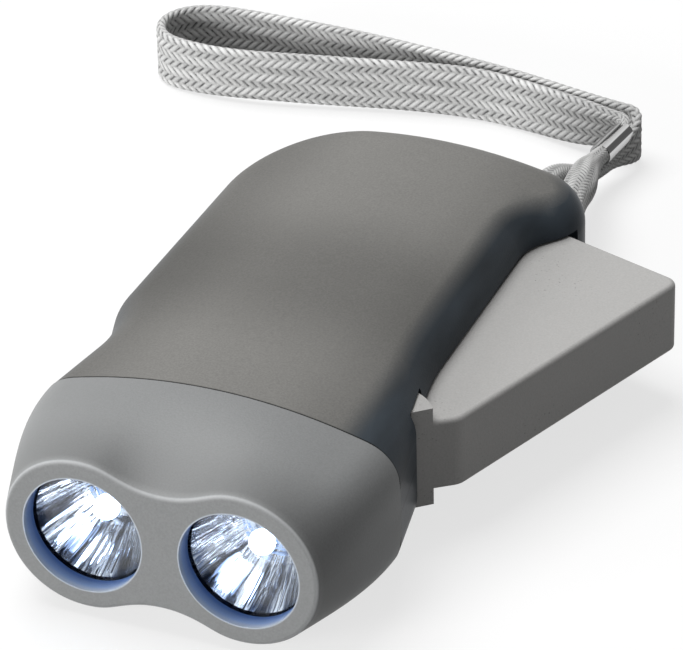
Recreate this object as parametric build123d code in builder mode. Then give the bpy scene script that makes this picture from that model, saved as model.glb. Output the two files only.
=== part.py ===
from build123d import *
import math
import os

os.makedirs("parts", exist_ok=True)

# Hand-squeeze dynamo torch. Millimetres, +Z up. The origin is the middle of the
# flat underside. The lamps look along -Y, and the squeeze lever is on the +X side.

# ---------------------------------------------------------------- body shells
total_length = 106.7      # lamp face to tail
cap_depth = 22.0          # lamp face to the seam with the shells
face_y = -52.0            # lamp face
half_height = 14.0        # parting plane to the top of the crown
foot_cut = 0.35           # depth of the flat strip along the underside
crown_radius = 85.0
crown_x = -1.5            # ridge line of the crown
edge_radius = 6.5         # rounding between the crown and the side walls
wall = 1.8

# Side walls in plan: distances from the centre line, and places behind the seam.
left_at_seam = -29.8
left_waist = -27.0
left_shoulder = -30.6
left_tail = -31.8
right_at_seam = 27.1
right_neck = 24.2
right_lip = 21.2
right_lip_tail = 19.7
left_waist_back = 15.5
left_shoulder_back = 25.5
right_neck_back = 13.0
right_lip_back = 25.0
tail_flare_length = 18.2  # length over which the right side flares out to the tail
tail_flare_angle = 40.0
rear_left_radius = 20.0
rear_right_radius = 9.0
nose_overrun = 20.0       # the outline runs on under the cap before it is cut
plan_margin = 0.3         # the outline is drawn this far outside the walls

# ---------------------------------------------------------------- head cap
lamp_spacing = 24.2
lamp_middle = -0.5        # middle of the lamp pair
lamp_bore_radius = 9.2
lobe_radius = 12.1
waist_radius = 15.4       # hollow between the two lobes
cap_wall = 1.7
face_wall = 3.0           # thickness of the lamp face
face_rounding = 0.7
section_points = 40
cap_sections = 5
cap_spread = 1.0          # how early the head swells behind the lamp face
spigot_length = 3.0
spigot_wall = 1.2
spigot_gap = 0.4

# ---------------------------------------------------------------- lamps
lens_thickness = 1.2
lens_radius = 10.2
reflector_depth = 11.5
reflector_mouth = 9.0
reflector_wall = 0.8
reflector_bridge = 6.0
led_radius = 2.5
led_length = 8.6
led_rim_radius = 2.9
led_rim = 1.0
reflector_throat = 3.2     # hole at the back of each cup
reflector_flange = 1.0
reflector_inset = 0.2     # its rim stands inside the lens's rim
cup_rings = 8
board_back = 2.0          # front of the lamp board, in front of the seam
board_thickness = 1.6
board_width = 42.0
board_height = 14.0
board_corner = 1.5
board_rib_width = 6.0
board_rib_reach = 0.9     # how far the ribs stand over the board's edges
board_gap = 0.1

# ---------------------------------------------------------------- lever
pivot_x = 18.0
pivot_back = 11.0         # pivot behind the seam
lever_travel = 18.1       # degrees of squeeze
arm_height = 11.6
arm_reach = 7.7           # pivot to the arm's outer face, across the arm
arm_tail_room = 12.6      # arm's tail to the case's tail, lever squeezed
knuckle_height = 16.3
knuckle_radius = 8.6
knuckle_front = 3.8       # pivot to the knuckle's front, along the arm
hub_radius = 5.0
hub_height = 11.6
lever_wall = 1.6
bay_count = 3             # hollow bays in the arm, open on its inner side
bay_front = 15.0
rib_thickness = 1.2
lever_edge = 0.8          # rounding of the arm's rims
slot_gap = 0.35           # room above and below the lever
tip_gap = 0.7             # room behind the lever's tail
slot_front_back = 12.3    # front edge of the slot behind the seam
pin_radius = 1.5
fit_gap = 0.05            # running fits, on the radius
end_gap = 0.2             # end float of what turns
boss_radius = 3.2
hole_depth = 1.8          # how far pins stand in their bosses
spring_wire_radius = 0.4
spring_radius = 4.3
spring_whole_turns = 2
spring_hub_radius = 3.4   # slim end of the hub that the spring sits on
spring_room = 5.3         # radius of the space cut for the spring
spring_top = -2.4         # top of that space, over the parting plane
spring_leg = 8.5
spring_leg_angle = -75.0
spring_post_radius = 1.2

# ---------------------------------------------------------------- gear train
pressure_angle = 25.0
addendum = 0.85
dedendum = 1.1
backlash = 0.12
sector_teeth = 60         # of the whole circle; only an arc of it is cut
sector_module = 1.0
sector_first = -5
sector_last = 2
sector_thickness = 4.0
sector_web_inner = 9.0
sector_web_outer = 21.0
sector_web_side = 9.0     # degrees of web left at each end of the sector
pinion_teeth = 12
first_wheel_teeth = 36
first_wheel_module = 0.8
second_wheel_teeth = 30
second_wheel_module = 0.6
train_angle_1 = 140.0     # direction from the pivot to the first gear
train_angle_2 = 100.0
train_angle_3 = 95.0
wheel_thickness = 2.4
level_gap = 0.4
axle_radius = 0.75
axle_collar_radius = 1.3
axle_collar = 0.9
gear_boss_radius = 2.4

# ---------------------------------------------------------------- generator
rotor_radius = 11.0
rotor_rim = 1.0
rotor_floor = 1.0
rotor_height = 9.4
rotor_neck_radius = 2.2
rotor_pinion_length = 2.8
magnet_thickness = 1.5
air_gap = 0.4
claw_thickness = 0.8
claw_length = 4.9
claw_count = 6
claw_angle = 16.0
bobbin_height = 5.6
bobbin_flange = 0.6
bobbin_wall = 0.8
coil_depth = 3.0
post_radius = 2.6
stator_board_thickness = 0.8
wire_radius = 0.5
wire_red_points = [       # heights over the parting plane
    (-14.6, -30.4, 4.0),
    (-14.6, -24.0, 4.0),
    (-15.4, -14.5, 6.4),
    (-17.6, -5.0, 8.4),
    (-18.9, 6.0, 9.0),
    (-18.6, 17.0, 9.1),
    (-17.6, 26.6, 9.6),
    (-16.2, 31.6, 7.5),
]
wire_black_points = [
    (-12.2, -30.4, 4.0),
    (-12.2, -24.2, 4.0),
    (-12.9, -14.6, 6.6),
    (-15.0, -5.0, 8.6),
    (-16.3, 6.0, 9.2),
    (-16.2, 16.0, 9.3),
    (-16.2, 25.8, 9.6),
    (-13.6, 30.8, 7.5),
]

# ---------------------------------------------------------------- fasteners
screw_head_radius = 2.1
screw_head_height = 1.6
screw_radius = 1.0
screw_length = 14.0
screw_sink = 5.2          # screw head above the ground
screw_gap = 0.2
screw_slot = 0.5
screw_boss_radius = 3.1

# ---------------------------------------------------------------- lock slide
lock_x = 8.0
lock_back = 55.5          # lock post behind the seam, unlocked
lock_travel = 4.0
lock_pad_width = 8.0
lock_pad_length = 7.0
lock_pad_height = 1.4
lock_recess = 1.9
lock_floor = 1.8          # thickness left over the recess
lock_neck = 3.0
lock_post_top = -4.4      # over the parting plane
lock_mouth = 3.6          # width of the slot in the lever that takes the post
lock_mouth_angle = 17.5
lock_leg_width = 2.8
lock_leg_length = 5.4
lock_plate = 1.1
lock_plate_width = 10.0
lock_plate_length = 8.0
lock_post_radius = 1.0
lock_gap = 0.25

# ---------------------------------------------------------------- strap
strap_width = 9.5
strap_thickness = 1.4
strap_lift = 0.1          # clearance of its lower edge over the ground
tie_radius = 1.5
tie_bend = 2.9            # bend of the tie round its pin
strap_pin_radius = 0.9
strap_pin_x = 16.6
strap_pin_inset = 4.6     # pin in front of the tail
strap_drop = 1.5          # tie's height under the parting plane at the pin
strap_hole_gap = 0.4
ferrule_wall = 0.35
ferrule_slit = 0.7
# Places of the strap: across, behind the tail, and up from the ground.
ferrule_front_place = (11.0, 34.9, 7.05)
ferrule_rear_place = (11.8, 43.5, 7.05)
tie_out_places = [        # from the ferrule to the hole
    (10.89, 33.7, 7.05),
    (12.0, 25.1, 9.4),
    (14.8, 15.3, 11.4),
    (18.4, 7.8, 12.1),
]
tie_back_places = [       # from the hole to the band, passing under the first strand
    (11.4, 8.8, 12.2),
    (9.4, 17.3, 11.2),
    (8.6, 24.5, 8.2),
    (11.8, 31.3, 4.0),
]
band_places = [           # from the ferrule round the loop and back, seen from above
    (11.8, 43.5),
    (11.6, 46.3),
    (8.0, 46.3),
    (2.0, 47.6),
    (-8.0, 50.1),
    (-17.0, 51.1),
    (-30.3, 48.6),
    (-46.5, 44.1),
    (-55.5, 42.1),
    (-63.8, 41.5),
    (-72.0, 43.0),
    (-74.8, 49.4),
    (-70.5, 55.4),
    (-60.0, 56.5),
    (-42.7, 56.2),
    (-26.0, 54.9),
    (-10.0, 52.6),
    (2.5, 49.8),
    (9.5, 48.3),
    (13.2, 48.1),
    (14.6, 43.0),
    (14.6, 37.3),
]

# ---------------------------------------------------------------- places
seam_y = face_y + cap_depth
tail_y = face_y + total_length
mid_z = half_height - foot_cut        # height of the parting plane
lamp_x = lamp_spacing / 2
lamp_left = lamp_middle - lamp_x
lamp_right = lamp_middle + lamp_x
pivot_y = seam_y + pivot_back
lever_plane = Plane(
    origin=(pivot_x, pivot_y, mid_z),
    x_dir=(math.cos(math.radians(lever_travel)), -math.sin(math.radians(lever_travel)), 0),
    z_dir=(0, 0, 1),
)
arm_length = tail_y - pivot_y - arm_tail_room
# Arm seen from above, along its own axes: places from the pivot, and roundings.
arm_corners = [
    ((3.3, 2.9), 1.2),
    ((5.2, 6.3), 3.0),
    ((arm_reach, 10.1), 3.0),
    ((arm_reach, arm_length), 2.2),
    ((-16.0, arm_length), 4.0),
    ((-19.0, arm_length - 0.7), 1.2),
    ((-4.4, 18.6), 10.0),
    ((-3.5, 4.0), 1.0),
]
bay_back = arm_length - lever_wall
sector_radius = sector_module * sector_teeth / 2
first_centre = sector_module * (sector_teeth + pinion_teeth) / 2
second_centre = first_wheel_module * (first_wheel_teeth + pinion_teeth) / 2
third_centre = second_wheel_module * (second_wheel_teeth + pinion_teeth) / 2


def step_from(start, distance, angle):
    """Point a distance from start, at an angle in degrees from +X."""
    return (
        start[0] + distance * math.cos(math.radians(angle)),
        start[1] + distance * math.sin(math.radians(angle)),
    )


pivot = (pivot_x, pivot_y)
first_axis = step_from(pivot, first_centre, train_angle_1)
second_axis = step_from(first_axis, second_centre, train_angle_2)
rotor_axis = step_from(second_axis, third_centre, train_angle_3)

# Levels of the gear train, as heights over the parting plane.
first_pinion_top = sector_thickness / 2 + level_gap
first_wheel_top = -sector_thickness / 2 - level_gap
first_wheel_low = first_wheel_top - wheel_thickness
second_wheel_top = first_wheel_low - level_gap
second_wheel_low = second_wheel_top - wheel_thickness
second_pinion_top = first_wheel_top + level_gap / 2
rotor_pinion_low = second_wheel_low - level_gap / 2
rotor_low = second_pinion_top + level_gap
rotor_top = rotor_low + rotor_height
stator_low = rotor_low + rotor_floor + air_gap
bobbin_low = stator_low + claw_thickness
upper_claw_low = bobbin_low + bobbin_height
stator_board_low = upper_claw_low + claw_thickness
stator_radius = rotor_radius - rotor_rim - magnet_thickness - air_gap
hub_top = hub_height / 2 + end_gap
screw_head_low = -half_height + foot_cut + screw_sink
screw_seat = screw_head_low + screw_head_height
lock_floor_low = -half_height + foot_cut + lock_recess
lock_floor_top = lock_floor_low + lock_floor
lock_y = seam_y + lock_back
strap_pin_y = tail_y - strap_pin_inset
strap_z = mid_z - strap_drop
ferrule_radius = tie_radius + ferrule_wall


def behind_tail(place):
    """Place on the part of one that is counted from the tail."""
    return (place[0], tail_y + place[1], *place[2:])


ferrule_front = behind_tail(ferrule_front_place)
ferrule_rear = behind_tail(ferrule_rear_place)
band_points = [behind_tail(place) for place in band_places]

screw_spots = [
    (-20.0, seam_y + 8.0),
    (6.0, seam_y + 5.2),
    (-25.2, seam_y + 48.0),
    (6.0, tail_y - 7.3),
]


def slope_out(at_seam, behind, distance):
    """Where a side wall would reach if it ran on in front of the seam."""
    return at_seam + (at_seam - behind) / distance * nose_overrun


drawn_tail = tail_y + plan_margin
flare_y = tail_y - tail_flare_length
flare_x = right_lip_tail + (drawn_tail - flare_y) * math.tan(math.radians(tail_flare_angle))
plan_corners = [
    ((slope_out(right_at_seam, right_neck, right_neck_back), seam_y - nose_overrun), 10.0),
    ((right_neck, seam_y + right_neck_back), 60.0),
    ((right_lip, seam_y + right_lip_back), 60.0),
    ((right_lip_tail, flare_y), 9.0),
    ((flare_x, drawn_tail), rear_right_radius),
    ((left_tail, drawn_tail), rear_left_radius),
    ((left_shoulder, seam_y + left_shoulder_back), 16.0),
    ((left_waist, seam_y + left_waist_back), 14.0),
    ((slope_out(left_at_seam, left_waist, left_waist_back), seam_y - nose_overrun), 10.0),
]


def half_block(inset):
    """Upper half of the closed body behind the seam, its faces drawn in by inset."""
    with BuildPart() as half:
        with BuildSketch(Plane.XY.offset(mid_z)):
            with BuildLine():
                FilletPolyline(
                    *[corner for corner, radius in plan_corners],
                    radius=[radius for corner, radius in plan_corners],
                    close=True,
                )
            make_face()
            offset(amount=-plan_margin - inset)
        extrude(amount=half_height + wall)
        split(bisect_by=Plane.XZ.offset(-seam_y), keep=Keep.BOTTOM)
        with BuildSketch(Plane.XZ.offset(-tail_y - wall)):
            with Locations((crown_x, mid_z + half_height - crown_radius)):
                Circle(crown_radius - inset)
        extrude(amount=total_length, mode=Mode.INTERSECT)
        crown = half.faces().sort_by(Axis.Z)[-1]
        fillet(crown.edges().sort_by(Axis.Y)[1:], edge_radius - inset)
    return half.part



def seam_section(inset):
    """Outline of the shells at the seam, drawn in by inset."""
    middle = (left_at_seam + right_at_seam) / 2
    half_width = (right_at_seam - left_at_seam) / 2 - plan_margin - inset
    with BuildSketch(Plane.XZ.offset(-seam_y)) as section:
        with Locations((middle, mid_z)):
            Rectangle(2 * half_width, 3 * half_height)
        for side in (1, -1):
            with Locations((crown_x, mid_z + side * (half_height - crown_radius))):
                Circle(crown_radius - inset, mode=Mode.INTERSECT)
        fillet(section.vertices(), edge_radius - inset)
    return section.sketch.face().outer_wire()


def lamp_face_section(inset):
    """Figure-of-eight outline of the lamp face, drawn in by inset."""
    reach = lobe_radius + waist_radius
    rise = math.sqrt(reach**2 - lamp_x**2)
    touch_x = lamp_x * waist_radius / reach
    touch_z = rise * lobe_radius / reach
    with BuildSketch(Plane.XZ.offset(-face_y)) as section:
        with Locations((lamp_right, mid_z), (lamp_left, mid_z)):
            Circle(lobe_radius - inset)
        with Locations((lamp_middle, mid_z)):
            Rectangle(2 * touch_x, 2 * touch_z)
        for side in (1, -1):
            with Locations((lamp_middle, mid_z + side * rise)):
                Circle(waist_radius + inset, mode=Mode.SUBTRACT)
    return section.sketch.face().outer_wire()


def points_round(wire):
    """Evenly spaced points round a section, from its +X side and up over the top."""
    dense = [wire.position_at(i / 720) for i in range(720)]
    if sum(a.X * b.Z - b.X * a.Z for a, b in zip(dense, dense[1:] + dense[:1])) < 0:
        dense.reverse()
    level = [p for p in dense if abs(p.Z - mid_z) < 0.3]
    start = dense.index(min(level, key=lambda p: abs(p.Z - mid_z) - p.X))
    dense = dense[start:] + dense[:start]
    return [dense[round(i * 720 / section_points)] for i in range(section_points)]


def cap_solid(inset, front, back):
    """Solid of the head between two depths behind the lamp face, drawn in by inset."""
    narrow = points_round(lamp_face_section(inset))
    wide = points_round(seam_section(inset))
    with BuildPart() as solid:
        for step in range(cap_sections):
            depth = front + (back - front) * step / (cap_sections - 1)
            share = depth / cap_depth
            spread = math.sin(share * math.pi / 2) ** cap_spread
            with BuildSketch(Plane.XZ.offset(-face_y - depth)):
                with BuildLine():
                    Spline(
                        *[
                            (n.X + (w.X - n.X) * spread, n.Z + (w.Z - n.Z) * spread)
                            for n, w in zip(narrow, wide)
                        ],
                        periodic=True,
                    )
                make_face()
        loft()
    return solid.part


def save(part, name):
    part.label = name
    export_step(part, f"parts/{name}.step")


def disc(centre, low, high, radius, bore=0):
    """Upright round piece between two heights over the parting plane."""
    with BuildPart() as piece:
        with BuildSketch(Plane.XY.offset(mid_z + low)):
            with Locations(centre):
                Circle(radius)
                if bore:
                    Circle(bore, mode=Mode.SUBTRACT)
        extrude(amount=high - low)
    return piece.part


def upright(corners, low, high, plane=Plane.XY.offset(mid_z)):
    """Upright block with a polygon for its plan, between two heights over plane."""
    with BuildPart() as piece:
        with BuildSketch(plane.offset(low)):
            Polygon(*corners, align=None)
        extrude(amount=high - low)
    return piece.part


def box_between(low_corner, high_corner):
    """Box from corner to corner, its heights counted over the parting plane."""
    (x0, y0, z0), (x1, y1, z1) = low_corner, high_corner
    return upright([(x0, y0), (x1, y0), (x1, y1), (x0, y1)], z0, z1)


# ---------------------------------------------------------------- openings in the shells
def lever_slot():
    """Space that the lever sweeps through the right-hand wall."""
    arm_sweep = math.hypot(*arm_corners[5][0]) + tip_gap
    with BuildPart() as space:
        for height, radius in (
            (arm_height + 2 * slot_gap, arm_sweep),
            (knuckle_height + 2 * slot_gap, knuckle_radius + tip_gap),
        ):
            with BuildSketch(Plane.XY.offset(mid_z - height / 2)):
                with Locations(pivot):
                    Circle(radius)
                with Locations((pivot_x - knuckle_radius, seam_y + slot_front_back)):
                    Rectangle(
                        total_length,
                        total_length,
                        align=(Align.MIN, Align.MIN),
                        mode=Mode.INTERSECT,
                    )
            extrude(amount=height)
    return space.part


def strap_hole():
    """Opening through the tail that both strands of the strap leave by."""
    width = 2 * (tie_bend + tie_radius + strap_hole_gap)
    height = 2 * (tie_radius + strap_hole_gap)
    front = strap_pin_y - tie_bend - tie_radius
    with BuildPart() as hole:
        with BuildSketch(Plane.XZ.offset(-front)):
            with Locations((strap_pin_x, strap_z)):
                RectangleRounded(width, height, tie_radius)
        extrude(amount=-(tail_y + wall - front))
    return hole.part


def seam_ring(outer_inset, inner_inset, depth):
    """Ring that follows the seam outline; a positive depth runs forward."""
    with BuildPart() as ring:
        for inset, mode in ((outer_inset, Mode.ADD), (inner_inset, Mode.SUBTRACT)):
            with BuildSketch(Plane.XZ.offset(-seam_y)):
                with BuildLine():
                    Spline(
                        *[(p.X, p.Z) for p in points_round(seam_section(inset))],
                        periodic=True,
                    )
                make_face()
            extrude(amount=depth, mode=mode)
    return ring.part


slot_space = lever_slot()
hole_space = strap_hole()
spigot_outset = cap_wall + spigot_gap
spigot_inset = spigot_outset + spigot_wall
board_front_y = seam_y - board_back
board_back_y = board_front_y + board_thickness
outer_half = half_block(0)
inner_half = half_block(wall)
parting = Plane.XY.offset(mid_z)
with BuildPart() as collar:
    add(seam_ring(spigot_outset, spigot_inset, spigot_length))
    add(seam_ring(wall / 2, spigot_inset, -wall))
    for side in (1, -1):
        for rib_x in (lamp_left, lamp_right):
            near = side * (board_height / 2 - board_rib_reach)
            far = side * (half_height - spigot_inset)
            add(
                box_between(
                    (rib_x - board_rib_width / 2, seam_y - spigot_length, min(near, far)),
                    (rib_x + board_rib_width / 2, seam_y + wall, max(near, far)),
                )
            )
    add(
        box_between(
            (
                lamp_middle - board_width / 2 - board_gap,
                board_front_y - board_gap,
                -board_height / 2 - board_gap,
            ),
            (lamp_middle + board_width / 2 + board_gap, board_back_y, board_height / 2 + board_gap),
        ),
        mode=Mode.SUBTRACT,
    )


upper_collar = split(collar.part, bisect_by=parting, keep=Keep.TOP)
lower_collar = split(collar.part, bisect_by=parting, keep=Keep.BOTTOM)


# ---------------------------------------------------------------- shells
# Posts: place, height over the parting plane where each ends, radius.
upper_posts = [
    (pivot, hub_top, boss_radius),
    (first_axis, first_pinion_top + end_gap, gear_boss_radius),
    (second_axis, rotor_top + end_gap, gear_boss_radius),
    (rotor_axis, stator_low, post_radius),
    ((strap_pin_x, strap_pin_y), tie_radius + strap_hole_gap - strap_drop, gear_boss_radius),
]
lower_posts = [
    (pivot, -hub_top, boss_radius),
    (first_axis, first_wheel_low - end_gap, gear_boss_radius),
    (second_axis, second_wheel_low - end_gap, gear_boss_radius),
    (rotor_axis, rotor_pinion_low - end_gap, gear_boss_radius),
    ((strap_pin_x, strap_pin_y), -tie_radius - strap_hole_gap - strap_drop, gear_boss_radius),
]
pin_radii = [pin_radius, axle_radius, axle_radius, axle_radius, strap_pin_radius]
# Where the spring's fixed leg leans on its post.
spring_post = step_from(
    pivot,
    spring_leg,
    spring_leg_angle
    - math.degrees(math.asin((spring_post_radius + spring_wire_radius) / spring_leg)),
)

hub_room = disc(pivot, -hub_top, hub_top, spring_room)

with BuildPart() as upper_shell:
    add(outer_half)
    add(inner_half, mode=Mode.SUBTRACT)
    add(slot_space, mode=Mode.SUBTRACT)
    add(hub_room, mode=Mode.SUBTRACT)
    with BuildPart(mode=Mode.PRIVATE) as upper_group:
        for place, level, radius in upper_posts:
            add(disc(place, level, half_height, radius))
        for spot in screw_spots:
            add(disc(spot, 0, half_height, screw_boss_radius))
        add(outer_half, mode=Mode.INTERSECT)
    add(upper_group.part)
    add(upper_collar)
    add(hole_space, mode=Mode.SUBTRACT)
    for (place, level, radius), bore in zip(upper_posts, pin_radii):
        add(disc(place, level, level + hole_depth, bore), mode=Mode.SUBTRACT)
    for spot in screw_spots:
        add(disc(spot, 0, screw_head_low + screw_length, screw_radius), mode=Mode.SUBTRACT)
save(upper_shell.part, "upper_shell")

lock_reach = lock_pad_length / 2 + lock_gap
with BuildPart() as lower_shell:
    add(outer_half.mirror(parting))
    add(inner_half.mirror(parting), mode=Mode.SUBTRACT)
    add(slot_space, mode=Mode.SUBTRACT)
    add(hub_room, mode=Mode.SUBTRACT)
    with BuildPart(mode=Mode.PRIVATE) as lower_group:
        for place, level, radius in lower_posts:
            add(disc(place, -half_height, level, radius))
        for spot in screw_spots:
            add(disc(spot, -half_height, 0, screw_boss_radius))
        add(disc(spring_post, -half_height, spring_top - 2 * spring_wire_radius, spring_post_radius))
        add(
            box_between(
                (lock_x - lock_pad_width / 2 - wall, lock_y - lock_reach - wall, -half_height),
                (
                    lock_x + lock_pad_width / 2 + wall,
                    lock_y + lock_travel + lock_reach + wall,
                    lock_floor_top,
                ),
            )
        )
        add(outer_half.mirror(parting), mode=Mode.INTERSECT)
    add(lower_group.part)
    add(lower_collar)
    add(hole_space, mode=Mode.SUBTRACT)
    for (place, level, radius), bore in zip(lower_posts, pin_radii):
        add(disc(place, level - hole_depth, level, bore), mode=Mode.SUBTRACT)
    for spot in screw_spots:
        add(disc(spot, -half_height, 0, screw_radius + screw_gap), mode=Mode.SUBTRACT)
        add(
            disc(spot, -half_height, screw_seat, screw_head_radius + screw_gap),
            mode=Mode.SUBTRACT,
        )
    # Recess for the lock's pad, and the slit its neck runs in.
    add(
        box_between(
            (lock_x - lock_pad_width / 2 - lock_gap, lock_y - lock_reach, -half_height),
            (
                lock_x + lock_pad_width / 2 + lock_gap,
                lock_y + lock_travel + lock_reach,
                lock_floor_low,
            ),
        ),
        mode=Mode.SUBTRACT,
    )
    add(
        box_between(
            (lock_x - lock_neck / 2 - lock_gap, lock_y - lock_neck / 2 - lock_gap, -half_height),
            (
                lock_x + lock_neck / 2 + lock_gap,
                lock_y + lock_travel + lock_neck / 2 + lock_gap,
                0,
            ),
        ),
        mode=Mode.SUBTRACT,
    )
    add(
        box_between(
            (-total_length, -total_length, -2 * half_height),
            (total_length, total_length, -half_height + foot_cut),
        ),
        mode=Mode.SUBTRACT,
    )
save(lower_shell.part, "lower_shell")


# ---------------------------------------------------------------- head cap
lens_y = face_y + face_wall
flange_y = lens_y + lens_thickness
with BuildPart() as head_cap:
    add(cap_solid(0, 0, cap_depth))
    fillet(head_cap.faces().sort_by(Axis.Y)[0].edges(), face_rounding)
    add(cap_solid(cap_wall, face_wall, cap_depth), mode=Mode.SUBTRACT)
    with BuildSketch(Plane.XZ.offset(-face_y)):
        with Locations((lamp_right, mid_z), (lamp_left, mid_z)):
            Circle(lamp_bore_radius)
    extrude(amount=-face_wall, mode=Mode.SUBTRACT)
    add(
        box_between(
            (-total_length, -total_length, -2 * half_height),
            (total_length, total_length, -half_height + foot_cut),
        ),
        mode=Mode.SUBTRACT,
    )
save(head_cap.part, "head_cap")


# ---------------------------------------------------------------- lamps
def cup_outline(thickness):
    """Parabolic half section of a cup, from its throat to its mouth."""
    outline = []
    for step in range(cup_rings + 1):
        share = step / cup_rings
        spread = reflector_mouth**2 - reflector_throat**2
        radius = math.sqrt(reflector_throat**2 + share * spread)
        outline.append((radius + thickness, (1 - share) * reflector_depth))
    return outline


with BuildPart() as twin_reflector:
    with BuildSketch(Plane.XZ.offset(-flange_y)):
        with Locations((lamp_right, mid_z), (lamp_left, mid_z)):
            Circle(lens_radius - reflector_inset)
        with Locations((lamp_middle, mid_z)):
            Rectangle(lamp_spacing, reflector_bridge)
    extrude(amount=-reflector_flange)
    for thickness, mode in ((reflector_wall, Mode.ADD), (0, Mode.SUBTRACT)):
        for lamp in (lamp_left, lamp_right):
            centre = Plane(origin=(lamp, flange_y, mid_z), x_dir=(1, 0, 0), z_dir=(0, 0, 1))
            outline = cup_outline(thickness)
            with BuildPart(mode=Mode.PRIVATE) as cup:
                with BuildSketch(centre):
                    with BuildLine():
                        Spline(*outline)
                        Polyline(outline[-1], (0, 0), (0, reflector_depth), outline[0])
                    make_face()
                revolve(axis=Axis(centre.origin, (0, 1, 0)))
            add(cup.part, mode=mode)
save(twin_reflector.part, "twin_reflector")

for lamp, name in ((lamp_left, "left"), (lamp_right, "right")):
    with BuildPart() as lens:
        with BuildSketch(Plane.XZ.offset(-lens_y)):
            with Locations((lamp, mid_z)):
                Circle(lens_radius)
        extrude(amount=-lens_thickness)
    save(lens.part, f"lens_{name}")

    with BuildPart() as led:
        with BuildSketch(Plane.XZ.offset(-board_front_y)):
            with Locations((lamp, mid_z)):
                Circle(led_rim_radius)
        extrude(amount=led_rim)
        with BuildSketch(Plane.XZ.offset(-board_front_y)):
            with Locations((lamp, mid_z)):
                Circle(led_radius)
        extrude(amount=led_length - led_radius)
        with Locations((lamp, board_front_y - led_length + led_radius, mid_z)):
            Sphere(led_radius)
    save(led.part, f"led_{name}")

with BuildPart() as led_board:
    with BuildSketch(Plane.XZ.offset(-board_front_y)):
        with Locations((lamp_middle, mid_z)):
            RectangleRounded(board_width, board_height, board_corner)
    extrude(amount=-board_thickness)
save(led_board.part, "led_board")


# ---------------------------------------------------------------- gears
def tooth_flank(teeth, module, tip=addendum):
    """Radii and half angles up one flank of a tooth, in degrees."""
    pitch = module * teeth / 2
    base = pitch * math.cos(math.radians(pressure_angle))
    root = pitch - dedendum * module
    top = pitch + tip * module

    def rolled(radius):
        turn = math.acos(base / radius)
        return math.tan(turn) - turn

    half = (math.pi * module / 2 - backlash) / 2 / pitch
    foot = max(base, root) + 0.01
    flank = [root] if root < foot else []
    flank += [foot, (foot + top) / 2, top]
    return [
        (radius, math.degrees(half + rolled(pitch) - rolled(max(radius, foot))))
        for radius in flank
    ]


def toothed_outline(centre, teeth, module, phase, numbers):
    """Points along numbered teeth, anticlockwise; phase is the angle of tooth 0."""
    flank = tooth_flank(teeth, module)
    points = []
    for number in numbers:
        middle = phase + number * 360 / teeth
        for radius, half in flank:
            points.append(step_from(centre, radius, middle - half))
        for radius, half in reversed(flank):
            points.append(step_from(centre, radius, middle + half))
    return points


def gear(centre, teeth, module, phase, low, high):
    outline = toothed_outline(centre, teeth, module, phase, range(teeth))
    return upright(outline, low, high)


def meshed_phase(phase, teeth, angle, next_teeth):
    """Angle of a tooth of the next gear, which stands at angle from this one."""
    position = (angle - phase) * teeth / 360
    return angle + 180 - (0.5 - position) * 360 / next_teeth


first_phase = meshed_phase(train_angle_1, sector_teeth, train_angle_1, pinion_teeth)
second_phase = meshed_phase(first_phase, first_wheel_teeth, train_angle_2, pinion_teeth)
rotor_phase = meshed_phase(second_phase, second_wheel_teeth, train_angle_3, pinion_teeth)

with BuildPart() as gear_1:
    add(gear(first_axis, pinion_teeth, sector_module, first_phase, first_wheel_top, first_pinion_top))
    add(
        gear(
            first_axis,
            first_wheel_teeth,
            first_wheel_module,
            first_phase,
            first_wheel_low,
            first_wheel_top,
        )
    )
    add(
        disc(first_axis, first_wheel_low, first_pinion_top, axle_radius + fit_gap),
        mode=Mode.SUBTRACT,
    )
save(gear_1.part, "gear_1")

with BuildPart() as gear_2:
    add(
        gear(
            second_axis,
            pinion_teeth,
            first_wheel_module,
            second_phase,
            second_wheel_top,
            second_pinion_top,
        )
    )
    add(
        gear(
            second_axis,
            second_wheel_teeth,
            second_wheel_module,
            second_phase,
            second_wheel_low,
            second_wheel_top,
        )
    )
    add(
        disc(second_axis, second_wheel_low, second_pinion_top, axle_radius + fit_gap),
        mode=Mode.SUBTRACT,
    )
save(gear_2.part, "gear_2")

save(
    disc(
        first_axis,
        lower_posts[1][1] - hole_depth,
        upper_posts[1][1] + hole_depth,
        axle_radius,
    ),
    "gear_axle_1",
)

with BuildPart() as gear_axle_2:
    add(
        disc(
            second_axis,
            lower_posts[2][1] - hole_depth,
            upper_posts[2][1] + hole_depth,
            axle_radius,
        )
    )
    collar_low = second_pinion_top + end_gap
    add(disc(second_axis, collar_low, collar_low + axle_collar, axle_collar_radius))
save(gear_axle_2.part, "gear_axle_2")


# ---------------------------------------------------------------- generator
with BuildPart() as rotor:
    add(
        gear(
            rotor_axis,
            pinion_teeth,
            second_wheel_module,
            rotor_phase,
            rotor_pinion_low,
            rotor_pinion_low + rotor_pinion_length,
        )
    )
    add(disc(rotor_axis, rotor_pinion_low + rotor_pinion_length, rotor_low, rotor_neck_radius))
    add(disc(rotor_axis, rotor_low, rotor_top, rotor_radius))
    add(
        disc(rotor_axis, rotor_low + rotor_floor, rotor_top, rotor_radius - rotor_rim),
        mode=Mode.SUBTRACT,
    )
    add(
        disc(rotor_axis, rotor_pinion_low, rotor_low + rotor_floor, axle_radius + fit_gap),
        mode=Mode.SUBTRACT,
    )
save(rotor.part, "rotor")

save(
    disc(
        rotor_axis,
        rotor_low + rotor_floor,
        rotor_top - air_gap,
        rotor_radius - rotor_rim,
        rotor_radius - rotor_rim - magnet_thickness,
    ),
    "magnet_ring",
)
save(
    disc(
        rotor_axis,
        lower_posts[3][1] - hole_depth,
        upper_posts[3][1] + hole_depth,
        axle_radius,
    ),
    "rotor_axle",
)


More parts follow.
